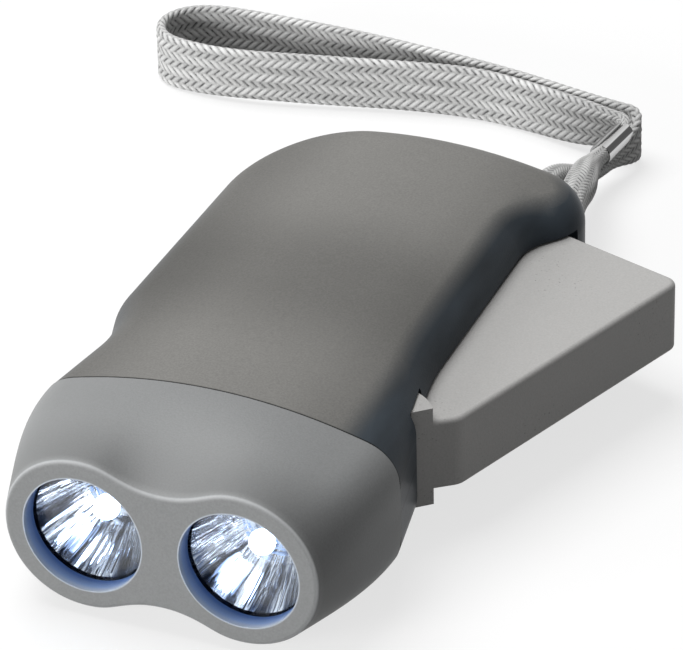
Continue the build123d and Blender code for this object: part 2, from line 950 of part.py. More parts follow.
def claw_plate(low, claws_low, first_angle):
    """Disc of soft iron with bent claws standing round its rim."""
    with BuildPart() as plate:
        add(disc(rotor_axis, low, low + claw_thickness, stator_radius, post_radius))
        half = claw_angle / 2
        for number in range(claw_count):
            middle = first_angle + number * 360 / claw_count
            wedge = upright(
                [
                    rotor_axis,
                    step_from(rotor_axis, 2 * stator_radius, middle - half),
                    step_from(rotor_axis, 2 * stator_radius, middle + half),
                ],
                claws_low,
                claws_low + claw_length,
            )
            with BuildPart(mode=Mode.PRIVATE) as claw:
                add(
                    disc(
                        rotor_axis,
                        claws_low,
                        claws_low + claw_length,
                        stator_radius,
                        stator_radius - claw_thickness,
                    )
                )
                add(wedge, mode=Mode.INTERSECT)
            add(claw.part)
    return plate.part


save(claw_plate(stator_low, bobbin_low, 0), "claw_plate_lower")
save(
    claw_plate(upper_claw_low, upper_claw_low - claw_length, 180 / claw_count),
    "claw_plate_upper",
)

coil_inner = post_radius + bobbin_wall
coil_outer = coil_inner + coil_depth
flange_radius = coil_outer + 0.4
with BuildPart() as coil_bobbin:
    add(disc(rotor_axis, bobbin_low, upper_claw_low, flange_radius, post_radius))
    add(
        disc(
            rotor_axis,
            bobbin_low + bobbin_flange,
            upper_claw_low - bobbin_flange,
            flange_radius,
            coil_inner,
        ),
        mode=Mode.SUBTRACT,
    )
save(coil_bobbin.part, "coil_bobbin")
save(
    disc(
        rotor_axis,
        bobbin_low + bobbin_flange,
        upper_claw_low - bobbin_flange,
        coil_outer,
        coil_inner,
    ),
    "coil_winding",
)
save(
    disc(
        rotor_axis,
        stator_board_low,
        stator_board_low + stator_board_thickness,
        stator_radius,
        post_radius,
    ),
    "stator_board",
)


# ---------------------------------------------------------------- cords and wires
def bend_radii(points, tightest=0):
    """Radius for each inner corner: most of the shorter run, as a tangent arc."""
    radii = []
    for before, here, after in zip(points, points[1:], points[2:]):
        one = Vector(*here) - Vector(*before)
        two = Vector(*after) - Vector(*here)
        turn = math.radians(one.get_angle(two))
        radius = 0.45 * min(one.length, two.length) / math.tan(turn / 2)
        if math.degrees(turn) > 80 and tightest:
            radius = tightest
        radii.append(radius)
    return radii


def round_cord(points, radius, tightest=0):
    radii = bend_radii(points, tightest)
    with BuildPart() as cord:
        with BuildLine():
            path = FilletPolyline(*points, radius=radii)
        with BuildSketch(Plane(origin=path @ 0, z_dir=path % 0)):
            Circle(radius)
        sweep(path=path)
    print("length", round(path.length, 1), "arc radii", [round(r, 1) for r in radii])
    return cord.part


for name, points in (("wire_red", wire_red_points), ("wire_black", wire_black_points)):
    raised = [(x, y, mid_z + z) for x, y, z in points]
    print(name)
    save(round_cord(raised, wire_radius), name)


# ---------------------------------------------------------------- lever
with BuildPart() as lever:
    with BuildSketch(lever_plane.offset(-arm_height / 2)):
        with BuildLine():
            FilletPolyline(
                *[corner for corner, radius in arm_corners],
                radius=[radius for corner, radius in arm_corners],
                close=True,
            )
        make_face()
    extrude(amount=arm_height)
    rims = lever.edges().group_by(Axis.Z)
    fillet(rims[0] + rims[-1], lever_edge)
    # Knuckle that shows beside the head.
    front_x, front_y = arm_corners[0][0]
    with BuildSketch(lever_plane.offset(-knuckle_height / 2)):
        Circle(knuckle_radius)
        Polygon(
            (front_x + 0.5, knuckle_front),
            (6.2, 8.1),
            (6.0, 12.0),
            (-3.0, 12.0),
            (-3.0, knuckle_front),
            align=None,
            mode=Mode.INTERSECT,
        )
    extrude(amount=knuckle_height)
    # Hub, slim at its lower end.
    with BuildSketch(lever_plane.offset(spring_top)):
        Circle(hub_radius)
    extrude(amount=hub_height / 2 - spring_top)
    with BuildSketch(lever_plane.offset(-hub_height / 2)):
        Circle(spring_room)
    extrude(amount=hub_height / 2 + spring_top, mode=Mode.SUBTRACT)
    with BuildSketch(lever_plane.offset(-hub_height / 2)):
        Circle(spring_hub_radius)
    extrude(amount=hub_height / 2 + spring_top)
    # Bays between the ribs.
    bay_length = (bay_back - bay_front - (bay_count - 1) * rib_thickness) / bay_count
    bay_height = arm_height - 2 * lever_wall
    for number in range(bay_count):
        bay_start = bay_front + number * (bay_length + rib_thickness)
        with BuildSketch(lever_plane.offset(-bay_height / 2)):
            with Locations((arm_reach - lever_wall, bay_start)):
                Rectangle(4 * arm_reach, bay_length, align=(Align.MAX, Align.MIN))
        extrude(amount=bay_height, mode=Mode.SUBTRACT)
    # Slot in the lower face that takes the lock's post.
    post_place = (lock_x - pivot_x, lock_y - pivot_y)
    with BuildSketch(lever_plane.offset(-arm_height / 2)):
        with Locations(Location((post_place[0], post_place[1], 0), (0, 0, lock_mouth_angle))):
            Rectangle(4 * lock_mouth, lock_mouth, align=(Align.MAX, Align.CENTER))
            Circle(lock_mouth / 2)
        with Locations(post_place):
            Rectangle(lock_leg_width, lock_leg_length, align=(Align.CENTER, Align.MIN))
    extrude(amount=lever_wall, mode=Mode.SUBTRACT)
    # Toothed sector on a web.
    local_phase = train_angle_1 + lever_travel
    numbers = range(sector_first, sector_last + 1)
    teeth = toothed_outline((0, 0), sector_teeth, sector_module, local_phase, numbers)
    from_angle = local_phase + (sector_first - 0.5) * 360 / sector_teeth
    to_angle = local_phase + (sector_last + 0.5) * 360 / sector_teeth
    root = sector_radius - dedendum * sector_module
    with BuildSketch(lever_plane.offset(-sector_thickness / 2)):
        Polygon(
            (0, 0),
            step_from((0, 0), root, from_angle),
            *teeth,
            step_from((0, 0), root, to_angle),
            align=None,
        )
        with BuildSketch(mode=Mode.SUBTRACT):
            Circle(sector_web_outer)
            Circle(sector_web_inner, mode=Mode.SUBTRACT)
            Polygon(
                (0, 0),
                step_from((0, 0), 2 * root, from_angle + sector_web_side),
                step_from((0, 0), 2 * root, to_angle - sector_web_side),
                align=None,
                mode=Mode.INTERSECT,
            )
    extrude(amount=sector_thickness)
    # Bore for the pin.
    with BuildSketch(lever_plane.offset(-hub_height)):
        Circle(pin_radius + fit_gap)
    extrude(amount=2 * hub_height, mode=Mode.SUBTRACT)
    # Notch for the spring's moving leg.
    with BuildSketch(lever_plane.offset(-hub_height / 2)):
        Rectangle(3 * spring_wire_radius, spring_leg, align=(Align.CENTER, Align.MIN))
        Circle(spring_hub_radius, mode=Mode.SUBTRACT)
    extrude(amount=hub_height / 2 + spring_top, mode=Mode.SUBTRACT)
save(lever.part, "lever")

save(disc(pivot, -hub_top - hole_depth, hub_top + hole_depth, pin_radius), "lever_pin")

# Torsion spring round the slim end of the hub, with a leg at each end.
moving_leg_angle = 90 - lever_travel
spring_turns = spring_whole_turns + (moving_leg_angle - spring_leg_angle) / 360
coil_low = -hub_height / 2 + spring_wire_radius
coil_high = spring_top - spring_wire_radius - 0.1
with BuildPart() as return_spring:
    with BuildLine():
        coil = Helix(
            pitch=(coil_high - coil_low) / spring_turns,
            height=coil_high - coil_low,
            radius=spring_radius,
            center=(0, 0, 0),
        )
    with BuildSketch(Plane(origin=coil @ 0, z_dir=coil % 0)):
        Circle(spring_wire_radius)
    sweep(path=coil)
    # A leg at each end, pointing straight out from the coil.
    for height, angle in ((0, 0), (coil_high - coil_low, moving_leg_angle - spring_leg_angle)):
        out = (math.cos(math.radians(angle)), math.sin(math.radians(angle)), 0)
        reach = spring_leg + 1 if height == 0 else spring_leg - 1.5
        with BuildSketch(
            Plane(origin=Vector(*out) * (spring_radius - 0.1) + Vector(0, 0, height), z_dir=out)
        ):
            Circle(spring_wire_radius)
        extrude(amount=reach - spring_radius)
spring_place = Location((pivot_x, pivot_y, mid_z + coil_low), (0, 0, spring_leg_angle))
return_spring = spring_place * return_spring.part
save(return_spring, "return_spring")


# ---------------------------------------------------------------- screws
def case_screw(spot):
    """Cross-head screw driven from below."""
    with BuildPart() as screw:
        add(disc(spot, screw_head_low, screw_seat, screw_head_radius))
        add(disc(spot, screw_seat, screw_head_low + screw_length, screw_radius))
        with BuildSketch(Plane.XY.offset(mid_z + screw_head_low)):
            with Locations(spot):
                Rectangle(1.4 * screw_head_radius, screw_slot)
                Rectangle(screw_slot, 1.4 * screw_head_radius)
        extrude(amount=screw_head_height / 2, mode=Mode.SUBTRACT)
    return screw.part


with BuildPart() as case_screws:
    for spot in screw_spots:
        add(case_screw(spot))
save(case_screws.part, "case_screws")


# ---------------------------------------------------------------- lock slide
pad_top = lock_floor_low - fit_gap
with BuildPart() as lock_slide:
    add(
        box_between(
            (lock_x - lock_pad_width / 2, lock_y - lock_pad_length / 2, pad_top - lock_pad_height),
            (lock_x + lock_pad_width / 2, lock_y + lock_pad_length / 2, pad_top),
        )
    )
    add(
        box_between(
            (lock_x - lock_neck / 2, lock_y - lock_neck / 2, pad_top),
            (lock_x + lock_neck / 2, lock_y + lock_neck / 2, lock_floor_top + fit_gap),
        )
    )
    add(disc((lock_x, lock_y), lock_floor_top, lock_post_top, lock_post_radius))
save(lock_slide.part, "lock_slide")

with BuildPart() as lock_plate_part:
    add(
        box_between(
            (
                lock_x - lock_plate_width / 2,
                lock_y - lock_plate_length / 2,
                lock_floor_top + fit_gap,
            ),
            (
                lock_x + lock_plate_width / 2,
                lock_y + lock_plate_length / 2,
                lock_floor_top + fit_gap + lock_plate,
            ),
        )
    )
    add(disc((lock_x, lock_y), lock_floor_top, lock_post_top, lock_post_radius), mode=Mode.SUBTRACT)
save(lock_plate_part.part, "lock_plate")


# ---------------------------------------------------------------- strap
save(
    disc(
        (strap_pin_x, strap_pin_y),
        lower_posts[4][1] - hole_depth,
        upper_posts[4][1] + hole_depth,
        strap_pin_radius,
    ),
    "strap_pin",
)

ferrule_axis = Vector(*ferrule_rear) - Vector(*ferrule_front)
with BuildPart() as strap_ferrule:
    with BuildSketch(Plane(origin=ferrule_front, x_dir=(0, 0, 1), z_dir=ferrule_axis)):
        Circle(ferrule_radius)
        Circle(tie_radius, mode=Mode.SUBTRACT)
        Rectangle(
            2 * ferrule_radius, ferrule_slit, align=(Align.MIN, Align.CENTER), mode=Mode.SUBTRACT
        )
    extrude(amount=ferrule_axis.length)
save(strap_ferrule.part, "strap_ferrule")

# The tie runs through the ferrule, round the pin and back to the band's other end.
turn_y = strap_pin_y - strap_pin_radius - tie_radius - fit_gap
out_y = tail_y + tie_radius
tie_points = [
    ferrule_rear,
    *[behind_tail(place) for place in tie_out_places],
    (strap_pin_x + tie_bend, out_y, strap_z),
    (strap_pin_x + tie_bend, turn_y, strap_z),
    (strap_pin_x - tie_bend, turn_y, strap_z),
    (strap_pin_x - tie_bend, out_y, strap_z),
    *[behind_tail(place) for place in tie_back_places],
    (*band_points[-1], strap_lift + strap_width / 2),
]
print("strap_tie")
save(round_cord(tie_points, tie_radius, tie_bend - 0.05), "strap_tie")

band_z = strap_lift + strap_width / 2
radii = bend_radii([(x, y, 0) for x, y in band_points])
with BuildPart() as strap_band:
    with BuildLine():
        path = FilletPolyline(*[(x, y, band_z) for x, y in band_points], radius=radii)
    start = path % 0
    with BuildSketch(Plane(origin=path @ 0, x_dir=(start.Y, -start.X, 0), z_dir=start)):
        Rectangle(strap_thickness, strap_width)
    sweep(path=path)
print("strap_band length", round(path.length, 1), "arc radii", [round(r, 1) for r in radii])
save(strap_band.part, "strap_band")
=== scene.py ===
import math
import bpy
from mathutils import Matrix, Vector


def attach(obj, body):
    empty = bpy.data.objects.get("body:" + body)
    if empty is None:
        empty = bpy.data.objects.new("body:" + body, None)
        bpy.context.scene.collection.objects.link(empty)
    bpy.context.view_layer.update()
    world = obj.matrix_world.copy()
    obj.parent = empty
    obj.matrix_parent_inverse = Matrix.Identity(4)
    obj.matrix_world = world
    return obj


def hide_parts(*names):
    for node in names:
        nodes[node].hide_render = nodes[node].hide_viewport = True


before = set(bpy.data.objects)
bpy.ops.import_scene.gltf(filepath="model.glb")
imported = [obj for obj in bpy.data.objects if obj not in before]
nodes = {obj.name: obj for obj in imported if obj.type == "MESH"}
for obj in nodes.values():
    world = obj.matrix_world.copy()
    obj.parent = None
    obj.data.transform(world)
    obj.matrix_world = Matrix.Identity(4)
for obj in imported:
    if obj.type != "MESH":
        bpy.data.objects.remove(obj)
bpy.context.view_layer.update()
scene = bpy.context.scene
MM = 0.001

# Places on the torch, in mm: x to the lever's side, y to the tail, z up from the ground.
mid_z = 13.65  # parting plane of the case
face_y = -52.0  # lamp face
seam_y = -30.0  # seam between the head and the case
lamp_middle = -0.5  # middle of the pair of lamps
lamp_x = 12.1  # from there to the middle of each lamp
lamp_bore = 9.25  # just outside the radius of the lamp bores
ferrule_z = 7.05  # height of the ferrule's axis


# ------------------------------------------------------------------ camera
def add_camera():
    """Camera in front of the lamps, above and on the lever's side, with a long lens."""
    azimuth = math.radians(24.3)
    elevation = math.radians(30.85)
    roll = math.radians(-1.25)
    place = (0.25574, -0.55602, 0.38758)
    forward = Vector(
        (
            -math.sin(azimuth) * math.cos(elevation),
            math.cos(azimuth) * math.cos(elevation),
            -math.sin(elevation),
        )
    )
    level = Vector((math.cos(azimuth), math.sin(azimuth), 0.0))
    rise = level.cross(forward)
    right = math.cos(roll) * level + math.sin(roll) * rise
    up = -math.sin(roll) * level + math.cos(roll) * rise
    data = bpy.data.cameras.new("camera")
    data.sensor_fit = "HORIZONTAL"
    data.sensor_width = 36.0
    data.lens = 255.1
    data.clip_start = 0.02
    data.clip_end = 50.0
    data.dof.use_dof = False
    camera = bpy.data.objects.new("camera", data)
    turn = Matrix((right, up, -forward)).transposed()
    camera.matrix_world = Matrix.Translation(place) @ turn.to_4x4()
    scene.collection.objects.link(camera)
    scene.camera = camera


add_camera()


# ------------------------------------------------------------------ materials
class Nodes:
    """Short calls for building a material's node tree."""

    def __init__(self, name):
        self.material = bpy.data.materials.new(name)
        self.material.use_nodes = True
        self.tree = self.material.node_tree
        self.shader = self.tree.nodes["Principled BSDF"]

    def add(self, kind, **values):
        node = self.tree.nodes.new(kind)
        for key, value in values.items():
            setattr(node, key, value)
        return node

    def link(self, a, b):
        self.tree.links.new(a, b)

    def feed(self, source, name):
        """Link a value to one of the shader's inputs."""
        self.link(source, self.shader.inputs[name])

    def set(self, **values):
        """Set constants of the shader."""
        for key, value in values.items():
            self.shader.inputs[key.replace("_", " ")].default_value = value

    def place(self, scale=(1, 1, 1)):
        """Object-space coordinates, scaled."""
        coordinate = self.add("ShaderNodeTexCoord")
        mapping = self.add("ShaderNodeMapping")
        mapping.inputs["Scale"].default_value = scale
        self.link(coordinate.outputs["Object"], mapping.inputs["Vector"])
        return mapping.outputs["Vector"]

    def split(self, vector):
        """The three parts of a vector."""
        node = self.add("ShaderNodeSeparateXYZ")
        self.link(vector, node.inputs["Vector"])
        return node.outputs["X"], node.outputs["Y"], node.outputs["Z"]

    def position(self):
        """Object-space x, y and z."""
        return self.split(self.add("ShaderNodeTexCoord").outputs["Object"])

    def noise(self, vector, scale, detail=2.0, rough=0.5):
        node = self.add("ShaderNodeTexNoise")
        node.inputs["Scale"].default_value = scale
        node.inputs["Detail"].default_value = detail
        node.inputs["Roughness"].default_value = rough
        self.link(vector, node.inputs["Vector"])
        return node.outputs["Fac"]

    def ramp(self, factor, stops):
        node = self.add("ShaderNodeValToRGB")
        ramp = node.color_ramp
        while len(ramp.elements) < len(stops):
            ramp.elements.new(0.5)
        for element, (position, colour) in zip(ramp.elements, stops):
            element.position = position
            element.color = (*colour, 1.0)
        self.link(factor, node.inputs["Fac"])
        return node.outputs["Color"]

    def spread(self, factor, low, high, to_low, to_high, kind="LINEAR"):
        """Map low..high to to_low..to_high, held at both ends."""
        node = self.add("ShaderNodeMapRange", interpolation_type=kind)
        node.inputs["From Min"].default_value = low
        node.inputs["From Max"].default_value = high
        node.inputs["To Min"].default_value = to_low
        node.inputs["To Max"].default_value = to_high
        self.link(factor, node.inputs["Value"])
        return node.outputs["Result"]

    def fade(self, factor, low, high, to_low, to_high):
        """As spread, but eased in and out, with low and high in mm."""
        return self.spread(factor, low * MM, high * MM, to_low, to_high, "SMOOTHSTEP")

    def step(self, factor, low, high, to_low, to_high):
        """As spread, with low and high in mm."""
        return self.spread(factor, low * MM, high * MM, to_low, to_high)

    def bump(self, height, distance, strength=1.0):
        node = self.add("ShaderNodeBump")
        node.inputs["Distance"].default_value = distance
        node.inputs["Strength"].default_value = strength
        self.link(height, node.inputs["Height"])
        self.feed(node.outputs["Normal"], "Normal")

    def math(self, operation, a, b=None):
        node = self.add("ShaderNodeMath", operation=operation)
        for socket, value in zip(node.inputs, (a, b)):
            if isinstance(value, (int, float)):
                socket.default_value = value
            elif value is not None:
                self.link(value, socket)
        return node.outputs[0]

    def product(self, first, *others):
        for other in others:
            first = self.math("MULTIPLY", first, other)
        return first

    def highest(self, first, *others):
        for other in others:
            first = self.math("MAXIMUM", first, other)
        return first

    def away(self, value, place):
        """Distance of a coordinate from a place in mm."""
        return self.math("ABSOLUTE", self.math("ADD", value, -place * MM))

    def mix(self, factor, a, b):
        """Mix two colours, each given by a link or as a constant."""
        node = self.add("ShaderNodeMix", data_type="RGBA")
        self.link(factor, node.inputs["Factor"])
        for name, colour in (("A", a), ("B", b)):
            if isinstance(colour, tuple):
                node.inputs[name].default_value = (*colour, 1.0)
            else:
                self.link(colour, node.inputs[name])
        return node.outputs["Result"]

    def radius(self, a, b):
        squares = self.math("ADD", self.math("POWER", a, 2.0), self.math("POWER", b, 2.0))
        return self.math("SQRT", squares)


def speckled_paint(name, colour, contrast, roughness, specular):
    """Satin paint with fine flakes and faint clouds."""
    n = Nodes(name)
    where = n.place()
    n.flakes = n.noise(where, 3200.0, 1.0, 0.6)
    clouds = n.product(n.noise(where, 60.0, 3.0), 0.25)
    dark = tuple(c * (1 - contrast) for c in colour)
    light = tuple(c * (1 + contrast) for c in colour)
    mixed = n.math("ADD", n.flakes, clouds)
    n.paint = n.ramp(mixed, [(0.4, dark), (0.62, colour), (0.85, light)])
    n.feed(n.spread(n.flakes, 0.3, 0.7, roughness - 0.05, roughness + 0.06), "Roughness")
    n.bump(n.flakes, 0.00002)
    n.set(Specular_IOR_Level=specular)
    return n


def case_finish():
    """Soft-feel paint on the flat faces, with painted shade, dark and glossier, on the flanks
    and the lever side.
    """
    n = speckled_paint("case_paint", (0.190, 0.187, 0.178), 0.10, 0.45, 0.05)
    x, y, z = n.position()
    to_side, _, to_top = n.split(n.add("ShaderNodeNewGeometry").outputs["Normal"])
    # Painted shade on the flanks, on the lever side and on the shoulder on that side.
    flank = n.spread(to_top, 0.30, 0.52, 1.0, 0.0)
    lever_side = n.spread(to_side, 0.24, 0.66, 0.0, 1.0)
    # Along the neck the painted shade reaches further in over the shoulder.
    reach = n.math("ADD", x, n.product(y, 0.03))
    neck = n.product(n.fade(reach, 15.6, 20.4, 0.0, 1.0), n.step(y, 34, 44, 1.0, 0.0))
    tail = n.product(n.step(x, 17.0, 22.0, 0.0, 1.0), n.spread(to_top, 0.78, 0.93, 1.0, 0.0))
    # Painted shade over the rounded edge opposite the lever.
    edge = n.product(
        n.spread(to_top, 0.62, 0.97, 0.5, 0.0),
        n.spread(to_side, -0.3, -0.05, 1.0, 0.0),
        n.step(y, 22, 40, 1.0, 0.0),
    )
    # All the painted shade on the case together.
    painted_side_shade = n.highest(flank, lever_side, neck, tail, edge)
    # Colour of the painted shade, with bluish painted reflections streaked along it.
    painted_streaks = n.noise(n.place((1, 0.25, 1)), 160.0, 3.0)
    dark = n.ramp(painted_streaks, [(0.35, (0.026, 0.031, 0.036)), (0.65, (0.042, 0.052, 0.063))])
    # Painted shade, darker across the waist and toward both sides.
    painted_shade_bands = n.product(
        n.fade(n.away(y, 5.0), 3, 25, 0.70, 1.0),
        n.fade(x, -27, -10, 0.68, 1.0),
        n.fade(x, 6, 20, 1.0, 0.8),
    )
    # Shadow gaps at the seam with the head and at the parting plane.
    seam = n.step(y, seam_y + 0.12, seam_y + 0.4, 1.0, 0.0)
    gap = n.highest(seam, n.step(n.away(z, mid_z), 0.06, 0.2, 1.0, 0.0))
    black = (0.004, 0.004, 0.004)
    paint = n.mix(painted_shade_bands, black, n.paint)
    n.feed(n.mix(gap, n.mix(painted_side_shade, paint, dark), black), "Base Color")
    n.feed(n.spread(painted_side_shade, 0.0, 1.0, 0.5, 0.36), "Roughness")
    return n.material


def head_finish():
    """Matte grey, tinted blue inside the lamp bores by the light behind the lenses."""
    n = speckled_paint("head_paint", (0.198, 0.203, 0.204), 0.07, 0.5, 0.25)
    x, y, z = n.position()
    across = n.math("ADD", n.away(x, lamp_middle), -lamp_x * MM)
    radius = n.radius(across, n.math("ADD", z, -mid_z * MM))
    inside = n.step(radius, lamp_bore, lamp_bore + 0.2, 1.0, 0.0)
    # Painted light in the bores: a painted highlight on the edge at the face, then the lamps'
    # blue glow, bluer and darker toward the lens.
    blue = n.ramp(
        n.step(y, face_y + 0.25, face_y + 2.6, 0.0, 1.0),
        [(0.0, (0.42, 0.46, 0.52)), (0.4, (0.22, 0.31, 0.50)), (1.0, (0.05, 0.11, 0.28))],
    )
    # Painted highlight on the rounding round the lamp face.
    edge = n.product(
        n.step(y, face_y + 0.02, face_y + 0.2, 0.0, 1.0),
        n.step(y, face_y + 0.28, face_y + 0.5, 1.0, 0.0),
        0.6,
    )
    # Colour of the painted highlight.
    light = n.ramp(n.flakes, [(0.0, (0.40, 0.41, 0.42)), (1.0, (0.46, 0.47, 0.48))])
    # Painted shade on the slope behind the lamp face.
    slope = n.product(
        n.fade(y, face_y + 2.0, face_y + 13.0, 0.24, 0.0),
        n.step(y, face_y + 0.6, face_y + 1.6, 0.0, 1.0),
    )
    grey = n.mix(slope, n.paint, (0.02, 0.02, 0.02))
    n.feed(n.mix(inside, n.mix(edge, grey, light), blue), "Base Color")
    return n.material


def lever_finish():
    """Light matte plastic with a few fine dark specks."""
    n = speckled_paint("lever_paint", (0.405, 0.400, 0.392), 0.06, 0.55, 0.2)
    specks = n.spread(n.noise(n.place(), 2300.0, 1.0), 0.67, 0.74, 0.0, 1.0)
    patches = n.spread(n.noise(n.place(), 75.0, 2.0), 0.48, 0.6, 0.0, 1.0)
    n.feed(n.mix(n.product(specks, patches), n.paint, (0.26, 0.255, 0.25)), "Base Color")
    return n.material


def metal(name, colour, roughness, streak=(40, 40, 900), depth=0.00001):
    """Machined metal with fine streaks."""
    n = Nodes(name)
    streaks = n.noise(n.place(streak), 30.0, 3.0)
    dull = tuple(c * 0.8 for c in colour)
    n.feed(n.ramp(streaks, [(0.3, dull), (0.7, colour)]), "Base Color")
    n.feed(n.spread(streaks, 0.3, 0.7, roughness * 0.7, roughness * 1.4), "Roughness")
    n.bump(streaks, depth)
    n.set(Metallic=1.0)
    return n.material


def moulded(name, colour, roughness, scale=900.0, depth=0.00003):
    """Plain moulded plastic with a fine sparked grain."""
    n = Nodes(name)
    where = n.place()
    grain = n.noise(where, scale, 3.0)
    dark = tuple(c * 0.88 for c in colour)
    light = tuple(c * 1.12 for c in colour)
    n.feed(n.ramp(grain, [(0.3, dark), (0.7, light)]), "Base Color")
    wear = n.noise(where, 70.0)
    n.feed(n.spread(wear, 0.3, 0.7, roughness - 0.05, roughness + 0.08), "Roughness")
    n.bump(grain, depth)
    return n.material


def clear_plastic():
    """Clear plastic with a trace of haze."""
    n = Nodes("lens_clear")
    haze = n.noise(n.place(), 250.0, 2.0)
    n.feed(n.spread(haze, 0.3, 0.7, 0.02, 0.05), "Roughness")
    n.set(Base_Color=(0.95, 0.98, 1.0, 1.0), Transmission_Weight=1.0, IOR=1.45)
    return n.material


def reflector_metal():
    """Bright coating in the cups, with rings and radial flutes that break up the light; their
    dark and bright streaks are also painted into the colour as reflections.
    """
    n = Nodes("reflector_coating")
    x, _, z = n.position()
    from_middle = n.math("ADD", x, -lamp_middle * MM)
    side = n.math("SIGN", from_middle)
    across = n.math("SUBTRACT", from_middle, n.product(side, lamp_x * MM))
    up = n.math("ADD", z, -mid_z * MM)
    radius = n.radius(across, up)
    turn = n.math("ARCTAN2", up, across)

    def streaked(by_turn, by_radius, detail):
        polar = n.add("ShaderNodeCombineXYZ")
        n.link(n.product(turn, by_turn), polar.inputs["X"])
        n.link(n.product(radius, by_radius), polar.inputs["Y"])
        n.link(side, polar.inputs["Z"])
        return n.noise(polar.outputs["Vector"], 1.3, detail, 0.6)

    rings = streaked(0.5, 900.0, 2.0)
    flutes = streaked(2.0, 70.0, 3.0)
    outer = n.step(radius, 3.6, 6.2, 0.0, 1.0)
    height = n.math("ADD", rings, n.product(n.math("SUBTRACT", flutes, rings), outer))
    # Painted reflections, dark to bright along the rings and flutes.
    stops = [
        (0.40, (0.08, 0.085, 0.10)),
        (0.455, (0.42, 0.45, 0.52)),
        (0.51, (0.95, 0.97, 1.0)),
    ]
    n.feed(n.ramp(height, stops), "Base Color")
    n.bump(height, 0.0012, 0.45)
    n.set(Metallic=1.0, Roughness=0.07)
    return n.material


def led_glow():
    """Clear epoxy lit from inside, cool white."""
    n = Nodes("led_glow")
    clouds = n.noise(n.place(), 520.0, 2.0)
    stops = [(0.38, (0.28, 0.48, 1.0)), (0.5, (0.62, 0.78, 1.0)), (0.62, (0.95, 0.98, 1.0))]
    n.feed(n.ramp(clouds, stops), "Emission Color")
    n.set(Base_Color=(0.12, 0.15, 0.2, 1.0), Roughness=0.2, Emission_Strength=0.8)
    return n.material


def ferrule_finish():
    """Crimped bright tube with its dark slit."""
    n = Nodes("ferrule_silver")
    x, y, z = n.position()
    # The axis runs to the side by 0.093 mm a mm, through x 2.67 mm at y 0.
    across = n.math("ADD", n.math("SUBTRACT", x, n.product(y, 0.093)), -2.67 * MM)
    turn = n.math("ARCTAN2", n.math("ADD", z, -ferrule_z * MM), across)
    from_slit = n.math("ABSOLUTE", n.math("ADD", turn, -0.66))
    stops = [
        (0.0, (0.07, 0.07, 0.07)),
        (0.27, (0.08, 0.08, 0.08)),
        (0.32, (0.62, 0.62, 0.62)),
        (0.9, (0.38, 0.38, 0.38)),
    ]
    n.feed(n.ramp(from_slit, stops), "Base Color")
    scratches = n.noise(n.place((900, 60, 900)), 1.0, 2.0)
    n.feed(n.spread(scratches, 0.3, 0.7, 0.18, 0.34), "Roughness")
    n.bump(scratches, 0.00001)
    n.set(Metallic=1.0)
    return n.material


def braided():
    """Grey yarn, with painted light on top of each strand and painted shade where strands dive
    under.
    """
    n = Nodes("braided_yarn")
    relief = n.add("ShaderNodeAttribute", attribute_name="relief").outputs["Fac"]
    fibres = n.noise(n.place(), 3600.0, 2.0, 0.7)
    fluff = n.product(n.math("SUBTRACT", fibres, 0.5), 0.5)
    stops = [
        (0.1, (0.012, 0.012, 0.012)),
        (0.40, (0.19, 0.19, 0.19)),
        (0.64, (0.46, 0.46, 0.456)),
        (0.95, (0.68, 0.68, 0.675)),
    ]
    n.feed(n.ramp(n.math("ADD", relief, fluff), stops), "Base Color")
    n.bump(fibres, 0.00012)
    n.set(Roughness=0.85, Sheen_Weight=0.1, Specular_IOR_Level=0.2)
    return n.material


def dress_pieces():
    """Give every piece that stays as built its material."""
    case_paint = case_finish()
    steel = metal("pin_steel", (0.6, 0.6, 0.6), 0.25)
    iron = metal("claw_iron", (0.45, 0.45, 0.43), 0.4)
    nylon = moulded("gear_nylon", (0.75, 0.73, 0.67), 0.45)
    board = moulded("board_green", (0.03, 0.16, 0.07), 0.3, 1500.0, 0.00001)
    lens = clear_plastic()
    glow = led_glow()
    lock = moulded("lock_dark", (0.05, 0.05, 0.055), 0.5)
    dressing = {
        "upper_shell": case_paint,
        "lower_shell": case_paint,
        "head_cap": head_finish(),
        "lever": lever_finish(),
        "lens_left": lens,
        "lens_right": lens,
        "twin_reflector": reflector_metal(),
        "led_left": glow,
        "led_right": glow,
        "led_board": board,
        "stator_board": board,
        "lever_pin": steel,
        "gear_axle_1": steel,
        "gear_axle_2": steel,
        "rotor_axle": steel,
        "strap_pin": steel,
        "return_spring": metal("spring_steel", (0.5, 0.5, 0.5), 0.3),
        "gear_1": nylon,
        "gear_2": nylon,
        "rotor": metal("rotor_metal", (0.6, 0.6, 0.61), 0.3, (300, 300, 300)),
        "magnet_ring": moulded("magnet_dark", (0.06, 0.06, 0.065), 0.6),
        "claw_plate_lower": iron,
        "claw_plate_upper": iron,
        "coil_bobbin": moulded("bobbin_black", (0.03, 0.03, 0.03), 0.5),
        "coil_winding": metal("coil_copper", (0.72, 0.33, 0.16), 0.35, (1, 1, 60), 0.0001),
        "wire_red": moulded("wire_red", (0.5, 0.02, 0.02), 0.5),
        "wire_black": moulded("wire_black", (0.02, 0.02, 0.02), 0.5),
        "case_screws": metal("screw_steel", (0.5, 0.5, 0.51), 0.35),
        "lock_slide": lock,
        "lock_plate": lock,
        "strap_ferrule": ferrule_finish(),
    }
    for name, material in dressing.items():
        for slot in nodes[name].material_slots:
            slot.material = material


dress_pieces()


